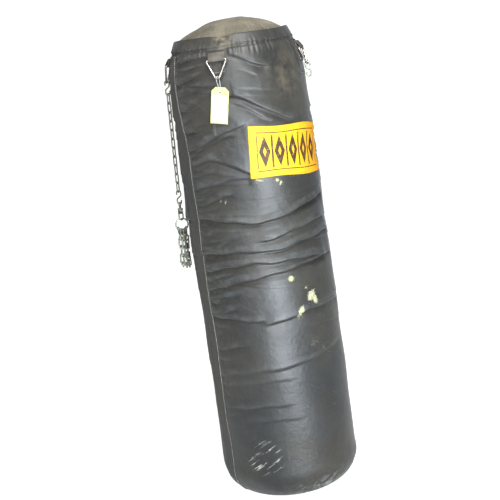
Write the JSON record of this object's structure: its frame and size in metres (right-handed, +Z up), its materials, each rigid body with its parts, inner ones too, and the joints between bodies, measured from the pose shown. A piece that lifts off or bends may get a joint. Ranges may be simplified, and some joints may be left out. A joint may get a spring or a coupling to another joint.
{
  "type": "hanging heavy punching bag",
  "caption": "Filled fabric cylinder with webbing straps, triangle rings, an S-hooked chain strand with swivel, folded spare chains, a tag and a sewn patch.",
  "frame": {"origin": "on the bag's axis at its flat foot", "axes": "+Z up the bag to its collar, -Y to the front with the tag and patch, +X to its right as seen from the front"},
  "size_m": [0.3881, 0.3482, 1.176],
  "materials": {
    "coated_nylon": "worn satin coating",
    "seam_tape": "matte",
    "dusty_canvas": "dusty",
    "shredded_fibre": "loose",
    "bagged_sand": "matte",
    "yellow_patch": "satin",
    "webbing": "woven",
    "nickel_plate": "bright",
    "zinc_steel": "zinc plated",
    "tag_card": "matte",
    "tag_eyelet": "matte",
    "tag_string": "matte"
  },
  "bodies": {
    "bag": {"main_shell": "coated_nylon", "bottom_panel": "coated_nylon", "side_seam_strip": "seam_tape", "collar_hem": "coated_nylon", "top_cover": "dusty_canvas", "fibre_filling": "shredded_fibre", "sand_bag_lower": "bagged_sand", "sand_bag_middle": "bagged_sand", "sand_bag_upper": "bagged_sand", "front_patch": "yellow_patch", "strap_base_front": "webbing", "strap_base_right": "webbing", "strap_base_back": "webbing", "strap_base_left": "webbing"},
    "loop_front": {"strap_loop_front": "webbing"},
    "ring_front": {"triangle_ring_front": "nickel_plate"},
    "loop_right": {"strap_loop_right": "webbing"},
    "ring_right": {"triangle_ring_right": "nickel_plate"},
    "loop_back": {"strap_loop_back": "webbing"},
    "ring_back": {"triangle_ring_back": "nickel_plate"},
    "loop_left": {"strap_loop_left": "webbing"},
    "ring_left": {"triangle_ring_left": "nickel_plate"},
    "tag": {"tag_card": "tag_card", "tag_eyelet": "tag_eyelet", "tag_string": "tag_string"},
    "hook_right": {"s_hook_right": "zinc_steel"},
    "hook_left": {"s_hook_left": "zinc_steel"},
    "link_01": {"chain_link_01": "zinc_steel"},
    "link_02": {"chain_link_02": "zinc_steel"},
    "link_03": {"chain_link_03": "zinc_steel"},
    "link_04": {"chain_link_04": "zinc_steel"},
    "link_05": {"chain_link_05": "zinc_steel"},
    "link_06": {"chain_link_06": "zinc_steel"},
    "link_07": {"chain_link_07": "zinc_steel"},
    "link_08": {"chain_link_08": "zinc_steel"},
    "link_09": {"chain_link_09": "zinc_steel"},
    "link_10": {"chain_link_10": "zinc_steel"},
    "link_11": {"chain_link_11": "zinc_steel"},
    "swivel_hook": {"swivel_s_hook": "zinc_steel"},
    "swivel_bolt": {"swivel_eye_bolt": "zinc_steel", "swivel_washer": "zinc_steel", "swivel_nut": "zinc_steel"},
    "yoke": {"swivel_yoke": "zinc_steel"},
    "bundle": {"gather_ring": "zinc_steel", "gathered_chain_outer": "zinc_steel", "gathered_hook_outer": "zinc_steel", "gathered_chain_middle": "zinc_steel", "gathered_hook_middle": "zinc_steel", "gathered_chain_inner": "zinc_steel", "gathered_hook_inner": "zinc_steel"}
  },
  "joints": [
    {"name": "loop_flip_front", "type": "hinge", "parent": "bag", "child": "loop_front", "pos_m": [-0.03801, -0.15244, 1.09962], "axis": [-0.9703, 0.2419, 0], "range_deg": [0, 160]},
    {"name": "ring_swing_front", "type": "hinge", "parent": "loop_front", "child": "ring_front", "pos_m": [-0.03982, -0.15971, 1.08527], "axis": [-0.9703, 0.2419, 0], "range_deg": [0, 20]},
    {"name": "loop_flip_right", "type": "hinge", "parent": "bag", "child": "loop_right", "pos_m": [0.15244, -0.03801, 1.09962], "axis": [-0.2419, -0.9703, 0], "range_deg": [0, 160]},
    {"name": "ring_swing_right", "type": "hinge", "parent": "loop_right", "child": "ring_right", "pos_m": [0.15971, -0.03982, 1.08527], "axis": [-0.2419, -0.9703, 0], "range_deg": [0, 20]},
    {"name": "loop_flip_back", "type": "hinge", "parent": "bag", "child": "loop_back", "pos_m": [0.03801, 0.15244, 1.09962], "axis": [0.9703, -0.2419, 0], "range_deg": [0, 160]},
    {"name": "ring_swing_back", "type": "hinge", "parent": "loop_back", "child": "ring_back", "pos_m": [0.03982, 0.15971, 1.08527], "axis": [0.9703, -0.2419, 0], "range_deg": [0, 20]},
    {"name": "loop_flip_left", "type": "hinge", "parent": "bag", "child": "loop_left", "pos_m": [-0.15244, 0.03801, 1.09962], "axis": [0.2419, 0.9703, 0], "range_deg": [0, 60]},
    {"name": "ring_swing_left", "type": "hinge", "parent": "loop_left", "child": "ring_left", "pos_m": [-0.15971, 0.03982, 1.08527], "axis": [0.2419, 0.9703, 0], "range_deg": [0, 20]},
    {"name": "tag_swing", "type": "hinge", "parent": "ring_front", "child": "tag", "pos_m": [-0.04264, -0.17102, 1.0446], "axis": [0.9703, -0.2419, 0], "range_deg": [-40, 0]},
    {"name": "hook_swing_right", "type": "hinge", "parent": "ring_right", "child": "hook_right", "pos_m": [0.17102, -0.04264, 1.0446], "axis": [0.2419, 0.9703, 0], "range_deg": [-45, 0]},
    {"name": "hook_swing_left", "type": "hinge", "parent": "ring_left", "child": "hook_left", "pos_m": [-0.17102, 0.04264, 1.0446], "axis": [-0.2419, -0.9703, 0], "range_deg": [-35, 0]},
    {"name": "link_swing_01", "type": "hinge", "parent": "hook_left", "child": "link_01", "pos_m": [-0.17255, 0.04302, 1.01469], "axis": [-0.969, 0.2416, 0.0523], "range_deg": [-12, 12]},
    {"name": "link_swing_02", "type": "hinge", "parent": "link_01", "child": "link_02", "pos_m": [-0.17366, 0.0433, 0.99287], "axis": [-0.2419, -0.9703, 0], "range_deg": [-16, 0]},
    {"name": "link_swing_03", "type": "hinge", "parent": "link_02", "child": "link_03", "pos_m": [-0.17477, 0.04358, 0.9709], "axis": [-0.969, 0.2416, 0.0523], "range_deg": [-12, 12]},
    {"name": "link_swing_04", "type": "hinge", "parent": "link_03", "child": "link_04", "pos_m": [-0.17589, 0.04385, 0.94893], "axis": [-0.2419, -0.9703, 0], "range_deg": [-16, 0]},
    {"name": "link_swing_05", "type": "hinge", "parent": "link_04", "child": "link_05", "pos_m": [-0.17701, 0.04413, 0.92696], "axis": [-0.969, 0.2416, 0.0523], "range_deg": [-12, 12]},
    {"name": "link_swing_06", "type": "hinge", "parent": "link_05", "child": "link_06", "pos_m": [-0.17812, 0.04441, 0.90499], "axis": [-0.2419, -0.9703, 0], "range_deg": [-16, 0]},
    {"name": "link_swing_07", "type": "hinge", "parent": "link_06", "child": "link_07", "pos_m": [-0.17924, 0.04469, 0.88302], "axis": [-0.969, 0.2416, 0.0523], "range_deg": [-12, 12]},
    {"name": "link_swing_08", "type": "hinge", "parent": "link_07", "child": "link_08", "pos_m": [-0.18036, 0.04497, 0.86105], "axis": [-0.2419, -0.9703, 0], "range_deg": [-16, 0]},
    {"name": "link_swing_09", "type": "hinge", "parent": "link_08", "child": "link_09", "pos_m": [-0.18147, 0.04525, 0.83908], "axis": [-0.969, 0.2416, 0.0523], "range_deg": [-12, 12]},
    {"name": "link_swing_10", "type": "hinge", "parent": "link_09", "child": "link_10", "pos_m": [-0.18259, 0.04553, 0.81711], "axis": [-0.2419, -0.9703, 0], "range_deg": [-16, 0]},
    {"name": "link_swing_11", "type": "hinge", "parent": "link_10", "child": "link_11", "pos_m": [-0.18371, 0.0458, 0.79514], "axis": [-0.969, 0.2416, 0.0523], "range_deg": [-12, 12]},
    {"name": "swivel_hook_swing", "type": "hinge", "parent": "link_11", "child": "swivel_hook", "pos_m": [-0.18482, 0.04608, 0.77317], "axis": [-0.2419, -0.9703, 0], "range_deg": [-15, 0]},
    {"name": "swivel_rock", "type": "hinge", "parent": "swivel_hook", "child": "swivel_bolt", "pos_m": [-0.18635, 0.04646, 0.74326], "axis": [-0.969, 0.2416, 0.0523], "range_deg": [-15, 15]},
    {"name": "swivel_turn", "type": "hinge", "parent": "swivel_bolt", "child": "yoke", "pos_m": [-0.18702, 0.04663, 0.72998], "axis": [0.0508, -0.0127, 0.9986], "continuous": true},
    {"name": "bundle_swing", "type": "hinge", "parent": "yoke", "child": "bundle", "pos_m": [-0.18842, 0.04698, 0.70252], "axis": [0.5868, -0.8088, -0.0401], "range_deg": [-20, 0]}
  ]
}
